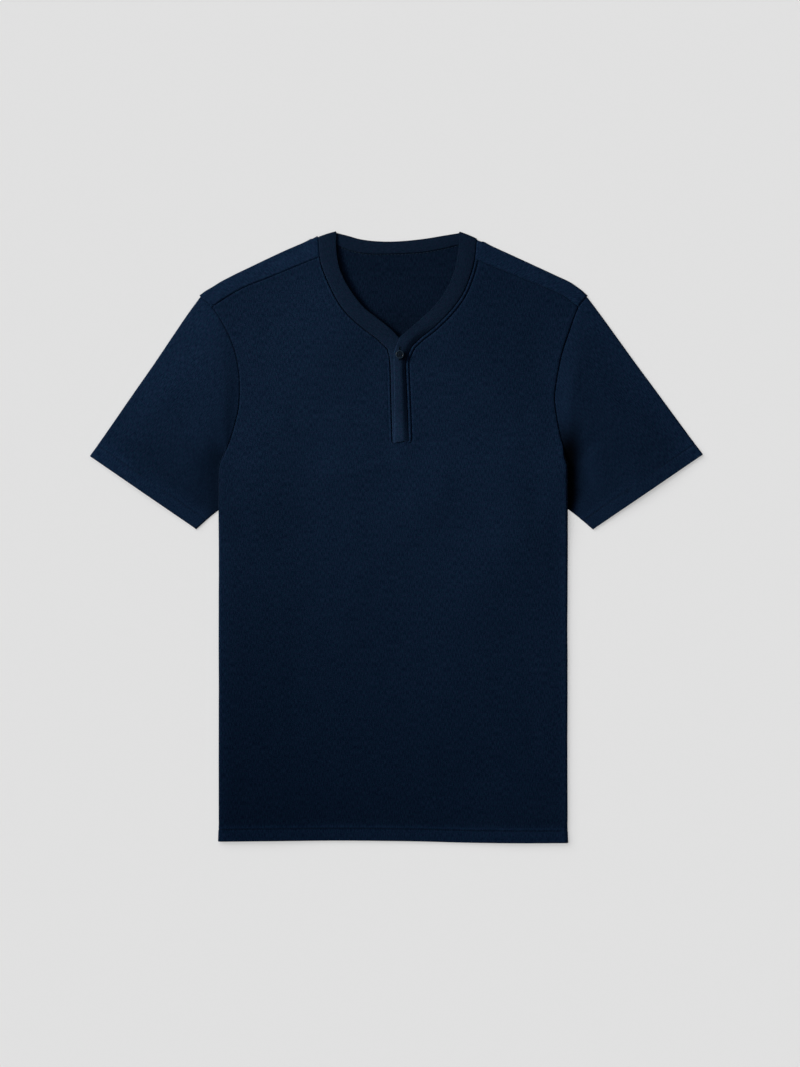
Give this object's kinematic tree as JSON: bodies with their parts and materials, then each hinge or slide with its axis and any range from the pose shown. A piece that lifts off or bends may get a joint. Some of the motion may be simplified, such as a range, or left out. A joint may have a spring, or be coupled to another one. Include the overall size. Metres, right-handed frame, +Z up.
{
  "type": "henley shirt",
  "caption": "Short-sleeved henley shirt laid flat face up, sides tucked under, with a banded neck, a short overlapping placket and one button.",
  "frame": {"origin": "middle of the laid shirt's bounding box, on the surface that it lies on", "axes": "+X to the wearer's left, +Y from the hem towards the collar, +Z up, out of the face of the laid shirt"},
  "size_m": [0.7008, 0.7, 0.0098],
  "materials": {
    "jersey": "matte navy heather single jersey",
    "band": "matte navy jersey, doubled",
    "button": "satin navy plastic"
  },
  "bodies": {
    "root": {"front_panel": "jersey", "back_panel": "jersey", "sleeve_left": "jersey", "sleeve_right": "jersey", "neckband": "band", "placket_under": "band", "button": "button"}
  },
  "joints": []
}
